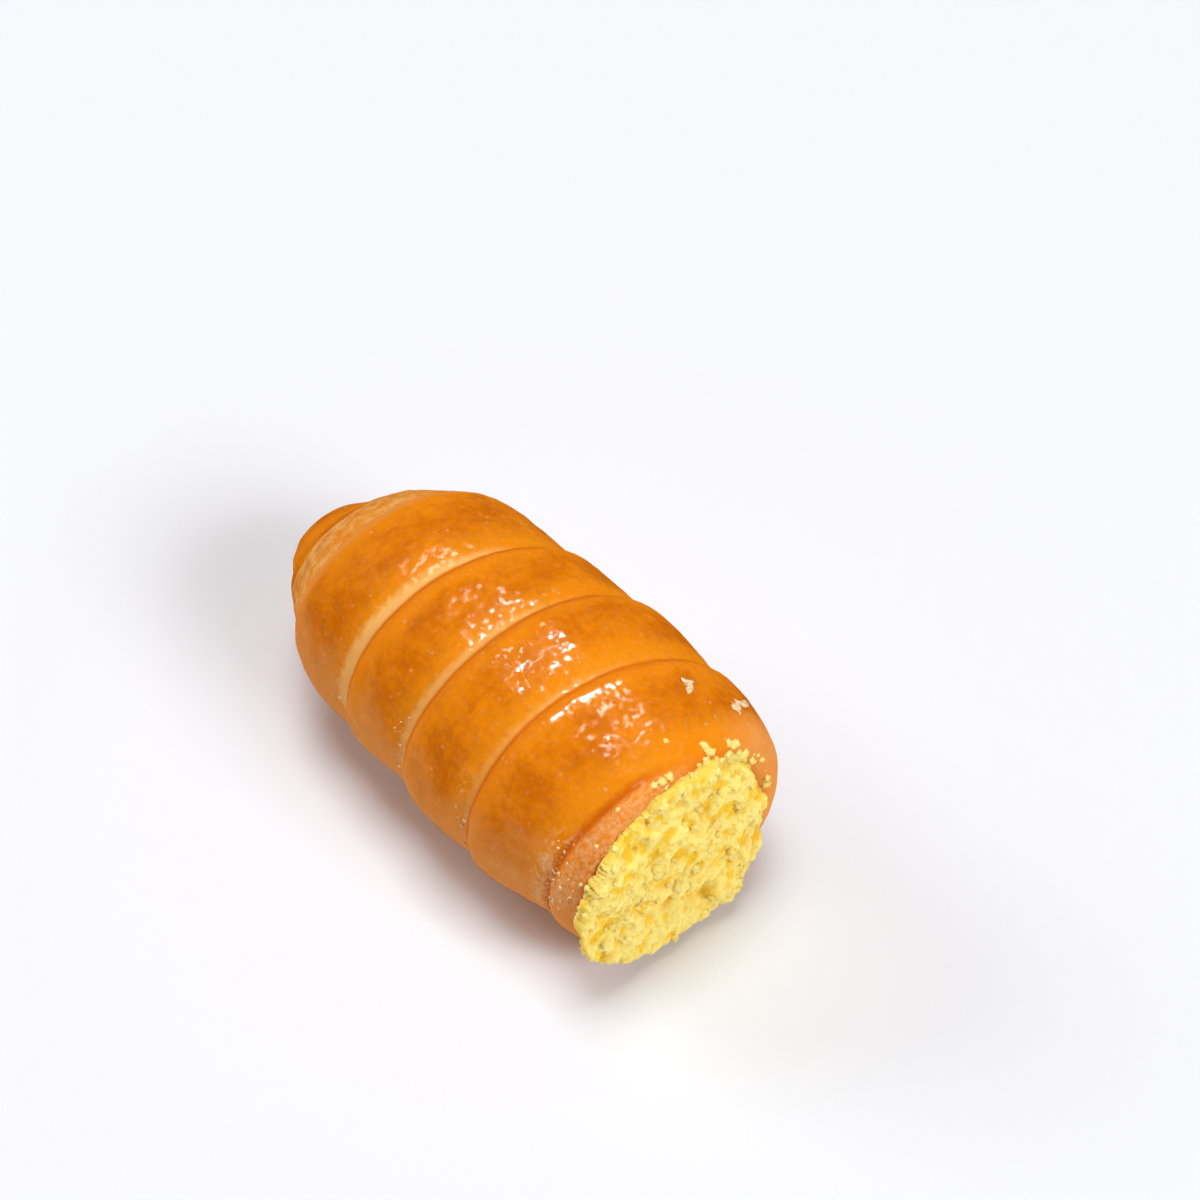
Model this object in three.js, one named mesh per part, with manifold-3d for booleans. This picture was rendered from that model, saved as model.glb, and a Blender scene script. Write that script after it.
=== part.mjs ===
// A cream horn lying on its side: one long strip of pastry, wound left-handed round a horn and
// baked into a single shell, and the cream that fills it and stands a little proud of its mouth.
// Millimetres, +Z up. The mouth faces -Y, the closed tip +Y, and the horn rests on z = 0.
//
// A point of the horn has a station (its distance from the tip along the length), a radius from
// the core line, and an angle round it, from the top (0) towards +X.

import * as THREE from 'three';
import Module from 'manifold-3d';

const wasm = await Module();
wasm.setup();

const { degToRad, lerp, clamp, smoothstep } = THREE.MathUtils;

// Length and outline of the shell. Each outline entry is [station, radius].
const LENGTH = 91;
const OUTLINE = [
  [0, 0],
  [2.5, 6.9],
  [6, 10.2],
  [11, 13.5],
  [18, 18.1],
  [26, 21.6],
  [45, 22.9],
  [64, 23.9],
  [80, 22.6],
  [88, 21.1],
  [LENGTH, 20],
];

// Close to the mouth the shell is swollen low on one side.
const SWELL_HEIGHT = 1.5;
const SWELL_STATION = 82;
const SWELL_LENGTH = 9;
const SWELL_TOWARDS = degToRad(122);

// The core line is level at this height. Towards the tip it bends down and to the side.
const CORE_HEIGHT = 22.6;
const BEND_LENGTH = 50;
const BEND_DOWN = 5.5;
const BEND_SIDE = 1.4;

// The wound strip. One turn advances by WIND_PITCH, and WIND_START places the first turn. It
// leans and wanders a little, as dough wound by hand does.
const WIND_PITCH = 16.6;
const WIND_START = 36.3;
const WIND_LEAN = 0.6;
const WIND_WANDER = 0.3;
const WANDER_LENGTH = 38;
const TIP_SPIRAL = 0.8;
const TIP_SPIRAL_RADIUS = 17;

// Each turn laps over the one nearer the tip. Its edge rises out of the crease in EDGE_WIDTH, and
// from there it slopes down to the next crease.
const EDGE_WIDTH = 3.25;
const EDGE_HEIGHT = 1.2;
const EDGE_UNEVEN = 0.16;
const EDGE_DEEPEST = degToRad(-47);
const EDGE_ROUND = 3.2;
const TURN_SLOPE = 1.8;
const TIP_FADE = 9;
const MOUTH_FADE = 0.38;
const MOUTH_FADE_START = 74;
const MOUTH_FADE_LENGTH = 12;

// The wall of the shell, its rounded lip, the radius of the cavity's end as a share of the tip's,
// and how far the opening lies off the core line, towards +X and up.
const WALL_AT_TIP = 7;
const WALL_AT_BODY = 5.2;
const WALL_AT_MOUTH = 4.4;
const LIP_DEPTH = 2.2;
const CAVITY_END = 0.94;
const MOUTH_SHIFT = new THREE.Vector2(-1.2, -2.2);

// The cream: its clearance to the pastry, and the head that stands proud of the lip and spreads
// over it, most of all low on one side.
const CLEARANCE = 0.3;
const HEAD_RADIUS = 18.5;
const HEAD_SHIFT = new THREE.Vector2(-1.7, -3);
const HEAD_HEIGHT = 2.2;
const HEAD_TILT = 0.65;
const HEAD_ROUND = 0.55;
const HEAD_LUMP = 0.35;

// How finely the surfaces are divided.
const COLUMNS = 52;
const TURN_STEPS = [0, 0.02, 0.045, 0.08, 0.125, 0.2, 0.34, 0.52, 0.7, 0.86];
const FIRST_TURN = -3;
const LAST_TURN = 5;
const LIP_STEPS = 6;
const CAVITY_STEPS = 8;
const HEAD_STEPS = 6;

const TAU = 2 * Math.PI;
const LIP_START = LENGTH - LIP_DEPTH;
const MIDDLE = (LENGTH + HEAD_HEIGHT) / 2;

const radii = new THREE.CubicInterpolant(
  OUTLINE.map(([station]) => Math.sqrt(station)),
  OUTLINE.map(([, radius]) => radius),
  1,
);

// Radius of the plain outline. The square root of the station makes the tip round.
function outlineRadius(station) {
  return radii.evaluate(Math.sqrt(station))[0];
}

// A point of a cross-section, measured from the core line.
function around(radius, angle) {
  return new THREE.Vector2(radius * Math.sin(angle), radius * Math.cos(angle));
}

function place(station, point) {
  const bend = Math.max(0, 1 - station / BEND_LENGTH) ** 2;
  return new THREE.Vector3(
    point.x - BEND_SIDE * bend,
    MIDDLE - station,
    CORE_HEIGHT + point.y - BEND_DOWN * bend,
  );
}

// How far the winding has come at a point of the surface. It grows along the horn, and near the
// tip with the radius too, so that the turns end there in a spiral.
function windingAt(station, radius, angle) {
  const wander = WIND_WANDER * Math.sin(2 * angle + TAU * station / WANDER_LENGTH);
  const lean = WIND_LEAN * Math.sin(angle);
  return station + TIP_SPIRAL * Math.min(radius, TIP_SPIRAL_RADIUS) - wander - lean;
}

// Height of the lapped turns under the plain outline: the round edge, then the slope.
function lapDepth(turns, station, angle) {
  const along = turns - Math.floor(turns);
  const edge = EDGE_WIDTH / WIND_PITCH;
  const low = along < edge
    ? (1 - along / edge) ** EDGE_ROUND
    : ((along - edge) / (1 - edge)) ** TURN_SLOPE;
  const height = EDGE_HEIGHT + EDGE_UNEVEN * Math.cos(angle - EDGE_DEEPEST);
  const mouth = MOUTH_FADE * clamp((station - MOUTH_FADE_START) / MOUTH_FADE_LENGTH, 0, 1);
  return low * height * Math.min(1, station / TIP_FADE) * (1 - mouth);
}

function outerRadius(station, turns, angle) {
  const swell = Math.exp(-(((station - SWELL_STATION) / SWELL_LENGTH) ** 2));
  const side = SWELL_HEIGHT * Math.cos(angle - SWELL_TOWARDS) * swell;
  return outlineRadius(station) - lapDepth(turns, station, angle) + side;
}

function turnsAtLip(angle) {
  const winding = windingAt(LIP_START, TIP_SPIRAL_RADIUS, angle);
  return (winding - WIND_START) / WIND_PITCH - angle / TAU;
}

// The point of the outer surface where the winding has made the given number of turns.
function outerPoint(turns, angle) {
  const wanted = WIND_START + WIND_PITCH * (turns + angle / TAU);
  if (windingAt(0, 0, angle) >= wanted) {
    return place(0, around(0, 0));
  }
  const lipTurns = turnsAtLip(angle);
  if (turns >= lipTurns) {
    return place(LIP_START, around(outerRadius(LIP_START, lipTurns, angle), angle));
  }
  let near = 0;
  let far = LIP_START;
  while (far - near > 1e-7) {
    const middle = (near + far) / 2;
    if (windingAt(middle, outerRadius(middle, turns, angle), angle) < wanted) {
      near = middle;
    } else {
      far = middle;
    }
  }
  return place(near, around(outerRadius(near, turns, angle), angle));
}

function wallAt(station) {
  const body = lerp(WALL_AT_TIP, WALL_AT_BODY, clamp(station / BEND_LENGTH, 0, 1));
  return lerp(body, WALL_AT_MOUTH, clamp((station - BEND_LENGTH) / (LENGTH - BEND_LENGTH), 0, 1));
}

// The cavity moves off the core line towards the mouth.
function cavityCentre(station) {
  return MOUTH_SHIFT.clone().multiplyScalar(smoothstep(station, BEND_LENGTH, LIP_START));
}

// A point of the cavity's wall, or inset from it. The cavity narrows to a round end one wall away
// from the tip.
function cavityPoint(station, angle, inset = 0) {
  const round = CAVITY_END * outlineRadius(Math.max(0, station - WALL_AT_TIP));
  const radius = Math.min(round, outlineRadius(station) - wallAt(station)) - inset;
  return around(Math.max(0, radius), angle).add(cavityCentre(station));
}

function cavityStations() {
  return Array.from({ length: CAVITY_STEPS }, (_, step) => {
    const share = (step / (CAVITY_STEPS - 1)) ** 1.5;
    return lerp(WALL_AT_TIP, LIP_START, share);
  });
}

// Where the lip's rounding has turned from the cavity (0) to the outer surface (half a turn).
function lipPoint(turned, angle, inset = 0) {
  const outside = around(outerRadius(LIP_START, turnsAtLip(angle), angle), angle);
  return cavityPoint(LIP_START, angle, inset).lerp(outside, (1 - Math.cos(turned)) / 2);
}

function lipStation(turned) {
  return LIP_START + LIP_DEPTH * Math.sin(turned);
}

// Joins columns of points into one closed surface, and makes coinciding points one. The last
// column meets column 0, where its rows may lie at other places: across tells which.
function closedGeometry(columns, across = (row) => row) {
  const last = columns[0].length - 1;
  const corners = new Map();
  const positions = [];
  const indexOf = (column, row) => {
    const point = column === columns.length ? columns[0][across(row)] : columns[column][row];
    const key = point.toArray().map((value) => value.toFixed(5)).join(' ');
    if (!corners.has(key)) {
      corners.set(key, corners.size);
      positions.push(...point.toArray());
    }
    return corners.get(key);
  };
  const triangles = [];
  for (let column = 0; column < columns.length; column += 1) {
    for (let row = 0; row < last; row += 1) {
      const a = indexOf(column, row);
      const b = indexOf(column, row + 1);
      const c = indexOf(column + 1, row + 1);
      const d = indexOf(column + 1, row);
      for (const triangle of [[a, b, c], [a, c, d]]) {
        if (new Set(triangle).size === 3) {
          triangles.push(...triangle);
        }
      }
    }
  }
  const geometry = new THREE.BufferGeometry();
  geometry.setAttribute('position', new THREE.Float32BufferAttribute(positions, 3));
  geometry.setIndex(triangles);
  return geometry;
}

const angles = Array.from({ length: COLUMNS }, (_, column) => TAU * (column / COLUMNS - 0.5));

// The shell: outer surface from the tip to the lip, over the lip, and down the cavity.
function shellGeometry() {
  const perTurn = TURN_STEPS.length;
  const outerRows = (LAST_TURN - FIRST_TURN) * perTurn;
  const columns = angles.map((angle) => {
    const points = [];
    for (let row = 0; row < outerRows; row += 1) {
      const turn = FIRST_TURN + Math.floor(row / perTurn);
      points.push(outerPoint(turn + TURN_STEPS[row % perTurn], angle));
    }
    for (let step = LIP_STEPS; step > 0; step -= 1) {
      const turned = Math.PI * step / LIP_STEPS;
      points.push(place(lipStation(turned), lipPoint(turned, angle)));
    }
    for (const station of cavityStations().reverse()) {
      points.push(place(station, cavityPoint(station, angle)));
    }
    return points;
  });
  return closedGeometry(columns, (row) => (
    row < outerRows ? Math.min(row + perTurn, outerRows) : row
  ));
}

// The edge of the cream's head, seen along the horn.
function brimPoint(angle) {
  const lumps = HEAD_LUMP * (Math.sin(3 * angle + 1) + Math.sin(5 * angle));
  return around(HEAD_RADIUS + lumps, angle).add(HEAD_SHIFT);
}

// How far the lip has turned where the head's edge lies over it, up to the lip's crest.
function turnedAtBrim(angle) {
  const centre = cavityCentre(LIP_START);
  const inside = lipPoint(0, angle).distanceTo(centre);
  const outside = lipPoint(Math.PI, angle).distanceTo(centre);
  const share = (brimPoint(angle).distanceTo(centre) - inside) / (outside - inside);
  return Math.acos(1 - 2 * clamp(share, 0, 0.5));
}

// The cream: it runs the length of the cavity, over the inner half of the lip, and out into the
// domed head.
function creamGeometry() {
  const apex = LENGTH + HEAD_HEIGHT;
  const columns = angles.map((angle) => {
    const points = cavityStations().map((station) => (
      place(Math.max(station, WALL_AT_TIP + CLEARANCE), cavityPoint(station, angle, CLEARANCE))
    ));
    const turnedLast = turnedAtBrim(angle);
    for (let step = 0; step < LIP_STEPS / 2; step += 1) {
      const turned = turnedLast * step / (LIP_STEPS / 2);
      points.push(place(lipStation(turned) + CLEARANCE, lipPoint(turned, angle, CLEARANCE)));
    }
    const brim = brimPoint(angle);
    const brimStation = lipStation(turnedLast) + CLEARANCE;
    for (let step = 0; step <= HEAD_STEPS; step += 1) {
      const share = step / HEAD_STEPS;
      const outwards = Math.cos(share * Math.PI / 2);
      const dome = lerp(brimStation, apex, Math.sin(share * Math.PI / 2) ** HEAD_ROUND);
      const tilt = HEAD_TILT * Math.cos(angle) * outwards * Math.min(1, 3 * share);
      const point = HEAD_SHIFT.clone().lerp(brim, outwards);
      points.push(place(Math.max(brimStation, dome - tilt), point));
    }
    return points;
  });
  return closedGeometry(columns);
}

function toSolid(geometry) {
  return new wasm.Manifold(new wasm.Mesh({
    numProp: 3,
    vertProperties: new Float32Array(geometry.attributes.position.array),
    triVerts: new Uint32Array(geometry.index.array),
  }));
}

function fromSolid(solid) {
  const mesh = solid.getMesh();
  const geometry = new THREE.BufferGeometry();
  geometry.setAttribute('position', new THREE.BufferAttribute(mesh.vertProperties, 3));
  geometry.setIndex(new THREE.BufferAttribute(mesh.triVerts, 1));
  return geometry;
}

// Everything under z = 0, which is taken off to leave the flat spots that the horn rests on.
function belowGround() {
  const size = 2 * LENGTH;
  const box = new THREE.BoxGeometry(size, size, size).toNonIndexed();
  const corners = Array.from({ length: box.attributes.position.count }, (_, corner) => (
    new THREE.Vector3().fromBufferAttribute(box.attributes.position, corner)
  ));
  const unique = [...new Map(corners.map((corner) => [corner.toArray().join(), corner])).values()];
  const geometry = new THREE.BufferGeometry().setFromPoints(unique);
  geometry.setIndex(corners.map((corner) => unique.findIndex((other) => other.equals(corner))));
  geometry.translate(0, 0, -size / 2);
  return geometry;
}

const pastry = new THREE.MeshStandardMaterial({ color: 0xd27a22, roughness: 0.35, metalness: 0 });
const cream = new THREE.MeshStandardMaterial({ color: 0xf2dc66, roughness: 0.9, metalness: 0 });

const shell = new THREE.Mesh(
  fromSolid(toSolid(shellGeometry()).subtract(toSolid(belowGround()))),
  pastry,
);
shell.name = 'pastry_shell';

const filling = new THREE.Mesh(creamGeometry(), cream);
filling.name = 'cream_filling';

const creamHorn = new THREE.Group();
creamHorn.name = 'cream_horn';
creamHorn.add(shell, filling);

export default creamHorn;
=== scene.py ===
import math

import bpy
import numpy as np
from bpy.props import FloatProperty, FloatVectorProperty, IntProperty, PointerProperty
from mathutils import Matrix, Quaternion, Vector


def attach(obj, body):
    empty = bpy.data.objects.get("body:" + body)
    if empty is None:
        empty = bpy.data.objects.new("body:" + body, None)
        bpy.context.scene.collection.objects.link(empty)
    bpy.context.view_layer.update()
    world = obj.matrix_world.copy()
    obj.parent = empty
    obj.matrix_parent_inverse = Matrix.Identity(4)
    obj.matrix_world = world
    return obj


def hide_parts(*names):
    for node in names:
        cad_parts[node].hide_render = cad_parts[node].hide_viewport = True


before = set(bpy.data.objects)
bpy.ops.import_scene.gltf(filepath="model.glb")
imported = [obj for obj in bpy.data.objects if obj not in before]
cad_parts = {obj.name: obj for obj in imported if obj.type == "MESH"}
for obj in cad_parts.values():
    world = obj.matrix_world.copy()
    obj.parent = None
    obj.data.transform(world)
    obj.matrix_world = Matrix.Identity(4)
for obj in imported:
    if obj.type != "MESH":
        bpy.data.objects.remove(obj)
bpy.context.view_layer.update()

bl_info = {
    "name": "Cream Horn",
    "version": (1, 0, 0),
    "blender": (4, 5, 0),
    "location": "3D View > Sidebar > Cream Horn",
    "description": "A glazed pastry horn with a crumbly vanilla filling, lying on a pale table",
    "category": "Object",
}

MM = 0.001
TAU = 2 * math.pi

# The horn's own measures, in millimetres, as the frame has them. A point has a station (its
# distance from the tip along the length), a radius from the core line, and an angle round it, in
# radians, from the top towards +X.
TIP = 46.6
LIP_START = 88.8

# The core line: its height, and how it bends down and aside towards the tip.
CORE_HEIGHT = 22.6
BEND_LENGTH = 50
BEND_DOWN = 5.5
BEND_SIDE = 1.4

# The winding: the width of a turn, where the first crease starts, how far the creases lean and
# wander, and how they spiral in at the tip. They lie at whole turns, from 0 to LAST_CREASE.
WIND_PITCH = 16.6
WIND_START = 36.3
WIND_LEAN = 0.6
WIND_WANDER = 0.3
WANDER_LENGTH = 38
TIP_SPIRAL = 0.8
TIP_SPIRAL_RADIUS = 17
LAST_CREASE = 4

# How far the laps lie past the even winding, in millimetres. The drift grows by FIRST_DRIFT a turn
# from -END_DRIFT at the first crease. Later it falls by LATER_DRIFT a turn, along a line that is
# at LAP_DRIFT at the first crease. It fades out over DRIFT_FADE towards both end stations.
END_DRIFT = 1.2
FIRST_DRIFT = 3.0
LAP_DRIFT = 3.07
LATER_DRIFT = 1.07
DRIFT_START = 12
DRIFT_END = 86
DRIFT_FADE = 10

# How fine the meshes are, in millimetres.
CRUST_GRAIN = 0.45
CREAM_GRAIN = 0.5

# How uneven a crumb is, in millimetres, and how far it tilts at most, in radians.
CRUMB_UNEVENNESS = 0.17
CRUMB_TILT = 0.6


def horn_place(maths, x, y, z):
    """Station, radius and angle of a point. maths is numpy, or a Finish for sockets."""
    station = TIP - y
    bend = maths.maximum(1 - station / BEND_LENGTH, 0) ** 2
    side = x + BEND_SIDE * bend
    up = z - CORE_HEIGHT + BEND_DOWN * bend
    return station, maths.sqrt(side * side + up * up), maths.arctan2(side, up)


def even_turns(maths, station, radius, angle):
    """Turns of the even winding at a point. Each whole number is a crease."""
    wander = WIND_WANDER * maths.sin(2 * angle + TAU / WANDER_LENGTH * station)
    lean = WIND_LEAN * maths.sin(angle)
    winding = station + TIP_SPIRAL * maths.minimum(radius, TIP_SPIRAL_RADIUS) - wander - lean
    return (winding - WIND_START) / WIND_PITCH - angle / TAU


def lap_drift(maths, turns):
    """How far the laps lie past the even winding, in millimetres."""
    first = FIRST_DRIFT * turns - END_DRIFT
    later = LAP_DRIFT - LATER_DRIFT * turns
    return maths.maximum(maths.minimum(first, later), -END_DRIFT)


def drift_share(maths, station):
    """How much of the drift there is at a station: none at the tip and at the lip."""
    share = maths.minimum(station - DRIFT_START, DRIFT_END - station) / DRIFT_FADE
    return maths.maximum(maths.minimum(share, 1), 0)


def turns_at(maths, station, radius, angle):
    """Turns of the real, less even winding at a point. Each whole number is a crease."""
    turns = even_turns(maths, station, radius, angle)
    return turns - lap_drift(maths, turns) * drift_share(maths, station) / WIND_PITCH


def smooth_step(value, low, high):
    """0 below low, 1 above high, and smooth between them. high may be the lower one."""
    share = np.clip((value - low) / (high - low), 0, 1)
    return share * share * (3 - 2 * share)


# Settings that a user would change.


def colour(name, description, default):
    return FloatVectorProperty(
        name=name, description=description, subtype="COLOR", size=3, min=0, max=1, default=default
    )


def length(name, description, default):
    return FloatProperty(
        name=name, description=description, subtype="DISTANCE", unit="LENGTH", precision=5,
        default=default * MM
    )


def watts(name, description, default):
    return FloatProperty(
        name=name, description=description, subtype="POWER", unit="POWER", default=default
    )


class CrustSettings(bpy.types.PropertyGroup):
    """Sizes and colours of the baked crust"""

    light: colour("Light glaze", "Egg glaze where it baked least", (0.77, 0.222, 0.004))
    dark: colour("Dark glaze", "Egg glaze where it baked most", (0.53, 0.118, 0.001))
    edge: colour("Turn edge", "Rounded edge of a turn, just past a crease", (0.80, 0.215, 0.012))
    gold: colour("Golden glaze", "Thin golden glaze near a bare strip", (0.78, 0.30, 0.01))
    strip: colour("Bare strip", "Unglazed dough beside a crease", (0.87, 0.49, 0.15))
    # The crease colour is partly browned dough and partly painted shade in the crease.
    crease: colour("Crease", "The line where one turn goes under the next", (0.56, 0.09, 0.003))
    # The low sides' colour is partly the crust's own dull tone and partly a painted reflection of
    # the pale table.
    side: colour("Low side", "Dull crust low on the sides", (0.79, 0.315, 0.08))
    speck: colour("Specks", "Pale specks of dry dough", (0.86, 0.52, 0.25))
    strip_width: length("Strip width", "Width of the bare strip near the tip", 2.7)
    lump_height: length("Lump height", "Height of the broad lumps", 0.55)
    blister_height: length("Blister height", "Height of the small blisters", 0.16)


class CreamSettings(bpy.types.PropertyGroup):
    """Sizes and colours of the filling"""

    light: colour("Cream", "Crumbly vanilla filling", (0.945, 0.745, 0.215))
    # Painted shade: the deeper yellow of the filling in its pits and on its sides.
    pit_shade: colour("Deep cream", "Filling down in its pits", (0.92, 0.57, 0.025))
    clump_size: length("Clump size", "Size of the large clumps", 3.0)
    clump_height: length("Clump height", "Height of the large clumps", 1.0)


class CrumbSettings(bpy.types.PropertyGroup):
    """Number and sizes of the crumbs and flakes, and the flakes' colour"""

    on_cream: IntProperty(
        name="Crumbs on the filling", description="Number of crumbs on the filling", default=260
    )
    on_rim: IntProperty(
        name="Crumbs on the rim", description="Number of crumbs on the rim of the crust", default=130
    )
    size: length("Crumb size", "Usual size of a crumb", 0.8)
    flake: length("Flake size", "Usual size of a pale flake on the crust", 0.5)
    dough: colour("Flakes", "Pale flakes of dry dough", (0.93, 0.64, 0.34))


class StageSettings(bpy.types.PropertyGroup):
    """Table and light"""

    table: colour("Table", "Colour of the table", (0.772, 0.772, 0.787))
    overhead: watts("Overhead light", "Power of the soft light overhead", 83)
    front: watts("Front light", "Power of the soft light in front", 167)
    back: watts("Back light", "Power of the soft light behind", 38)
    tube: watts("Lamp tube", "Power of the long narrow lamp that glints in the glaze", 105)
    sheen: watts("Sheen", "Power of the broad light that only the glaze shows", 45)
    surround: FloatProperty(
        name="Surround", description="Strength of the warm light from all round", default=0.2
    )


# Objects, meshes and modifiers.


def only(piece):
    """Selects one object and makes it the active one."""
    bpy.ops.object.select_all(action="DESELECT")
    piece.select_set(True)
    bpy.context.view_layer.objects.active = piece


def copy_node(node, name):
    """A copy of a CAD node as a new piece, with its loose triangles merged."""
    piece = bpy.data.objects.new(name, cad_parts[node].data.copy())
    piece.data.name = name
    piece.data.materials.clear()
    bpy.context.scene.collection.objects.link(piece)
    only(piece)
    bpy.ops.object.mode_set(mode="EDIT")
    bpy.ops.mesh.select_all(action="SELECT")
    bpy.ops.mesh.remove_doubles(threshold=0.001 * MM)
    bpy.ops.object.mode_set(mode="OBJECT")
    return piece


def modify(piece, kind, **settings):
    """Adds a modifier and applies it."""
    only(piece)
    modifier = piece.modifiers.new(kind.title(), kind)
    for name, value in settings.items():
        setattr(modifier, name, value)
    bpy.ops.object.modifier_apply(modifier=modifier.name)


def roughen(piece, kind, size, height, group, middle=0.5, **settings):
    """Pushes the vertices of a group in and out by a texture of a size and a height."""
    texture = bpy.data.textures.new(f"{piece.name} {kind.lower()}", kind)
    texture.noise_scale = size
    for name, value in settings.items():
        setattr(texture, name, value)
    modify(
        piece, "DISPLACE", texture=texture, texture_coords="LOCAL", strength=height,
        mid_level=middle, vertex_group=group
    )


def points_of(mesh):
    """The vertices as an array of millimetres."""
    flat = np.empty(len(mesh.vertices) * 3, np.float32)
    mesh.vertices.foreach_get("co", flat)
    return flat.reshape(-1, 3).astype(float) / MM


def set_points(mesh, points):
    mesh.vertices.foreach_set("co", (points * MM).astype(np.float32).ravel())
    mesh.update()


def normals_of(mesh):
    flat = np.empty(len(mesh.vertices) * 3, np.float32)
    mesh.vertices.foreach_get("normal", flat)
    return flat.reshape(-1, 3).astype(float)


def select_faces(piece, chosen):
    """Selects the faces all of whose vertices are chosen, and goes into edit mode."""
    only(piece)
    mesh = piece.data
    bpy.ops.object.mode_set(mode="EDIT")
    bpy.ops.mesh.select_mode(type="FACE")
    bpy.ops.mesh.select_all(action="DESELECT")
    bpy.ops.object.mode_set(mode="OBJECT")
    corners = np.empty(len(mesh.loops), np.int32)
    mesh.loops.foreach_get("vertex_index", corners)
    starts = np.empty(len(mesh.polygons), np.int32)
    mesh.polygons.foreach_get("loop_start", starts)
    mesh.polygons.foreach_set("select", np.logical_and.reduceat(chosen[corners], starts))
    bpy.ops.object.mode_set(mode="EDIT")


def weight_group(piece, name, weights):
    """A vertex group with a weight for each vertex, in steps of a twentieth."""
    group = piece.vertex_groups.new(name=name)
    steps = np.round(np.asarray(weights) * 20).astype(int)
    for step in range(1, 21):
        group.add(np.flatnonzero(steps == step).tolist(), step / 20, "REPLACE")


def mark(mesh, name, values):
    """Gives each vertex a number that a material reads."""
    made = mesh.attributes.new(name, "FLOAT", "POINT")
    made.data.foreach_set("value", np.asarray(values, np.float32))


def crumb_shape(seed, shape):
    """The points, in millimetres, and the faces of one uneven crumb about a millimetre across."""
    bpy.ops.object.select_all(action="DESELECT")
    bpy.ops.mesh.primitive_ico_sphere_add(subdivisions=2, radius=0.5 * MM)
    crumb = bpy.context.object
    bpy.ops.object.mode_set(mode="EDIT")
    bpy.ops.mesh.select_all(action="SELECT")
    bpy.ops.transform.vertex_random(offset=CRUMB_UNEVENNESS * MM, uniform=0.7, normal=0.6, seed=seed)
    bpy.ops.transform.resize(value=shape)
    bpy.ops.object.mode_set(mode="OBJECT")
    points = points_of(crumb.data)
    faces = np.array([face.vertices[:] for face in crumb.data.polygons])
    bpy.data.objects.remove(crumb)
    return points, faces


def scattered(mesh, rng, number, share):
    """Random places on a mesh, in millimetres, and the ways out of it there."""
    faces = len(mesh.polygons)
    areas = np.empty(faces, np.float32)
    centres = np.empty(faces * 3, np.float32)
    ways = np.empty(faces * 3, np.float32)
    mesh.polygons.foreach_get("area", areas)
    mesh.polygons.foreach_get("center", centres)
    mesh.polygons.foreach_get("normal", ways)
    centres = centres.reshape(-1, 3).astype(float) / MM
    ways = ways.reshape(-1, 3).astype(float)
    chances = areas * share(*horn_place(np, *centres.T))
    chosen = rng.choice(faces, number, p=chances / chances.sum())
    return centres[chosen], ways[chosen]


def on_crust(crust, station, angle):
    """The place on the crust at a station and an angle in degrees, and the way out of it."""
    turned = math.radians(angle)
    way = Vector((math.sin(turned), 0, math.cos(turned)))
    bend = max(0.0, 1 - station / BEND_LENGTH) ** 2
    core = Vector((-BEND_SIDE * bend, TIP - station, CORE_HEIGHT - BEND_DOWN * bend)) * MM
    hit, place, normal, _ = crust.ray_cast(core + way * 60 * MM, -way)
    if not hit:
        raise RuntimeError(f"no crust at station {station:.1f}, angle {angle:.0f}")
    return np.array(place) / MM, np.array(normal)


def joined(name, shapes, spots, rng, sunk):
    """One piece of copies of the shapes, at spots of a place, a way out and a size."""
    points = []
    faces = []
    count = 0
    for place, way, size in spots:
        shape, sides = shapes[rng.integers(len(shapes))]
        spin = Quaternion((0, 0, 1), rng.uniform(0, TAU))
        tilt = Quaternion(Vector(rng.normal(size=3)).normalized(), rng.uniform(0, CRUMB_TILT))
        turn = Vector(way).to_track_quat("Z", "Y") @ tilt @ spin
        turned = shape @ np.array(turn.to_matrix()).T
        points.append(turned * size + place + way * size * sunk)
        faces.append(sides + count)
        count += len(shape)
    mesh = bpy.data.meshes.new(name)
    mesh.from_pydata((np.concatenate(points) * MM).tolist(), [], np.concatenate(faces).tolist())
    piece = bpy.data.objects.new(name, mesh)
    bpy.context.scene.collection.objects.link(piece)
    return piece


def finish_piece(piece, material):
    """Gives a piece its material and puts it on the horn's body."""
    piece.data.materials.clear()
    piece.data.materials.append(material)
    only(piece)
    bpy.ops.object.shade_smooth()
    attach(piece, "root")


# Materials.


class Value:
    """A socket whose numbers are added, multiplied and so on as in plain Python."""

    def __init__(self, finish, socket):
        self.finish = finish
        self.socket = socket

    def __add__(self, other):
        return self.finish.maths("ADD", self, other)

    def __radd__(self, other):
        return self.finish.maths("ADD", other, self)

    def __sub__(self, other):
        return self.finish.maths("SUBTRACT", self, other)

    def __rsub__(self, other):
        return self.finish.maths("SUBTRACT", other, self)

    def __mul__(self, other):
        return self.finish.maths("MULTIPLY", self, other)

    def __rmul__(self, other):
        return self.finish.maths("MULTIPLY", other, self)

    def __truediv__(self, other):
        return self.finish.maths("DIVIDE", self, other)

    def __neg__(self):
        return self.finish.maths("MULTIPLY", self, -1)

    def __pow__(self, other):
        return self.finish.maths("POWER", self, other)


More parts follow.
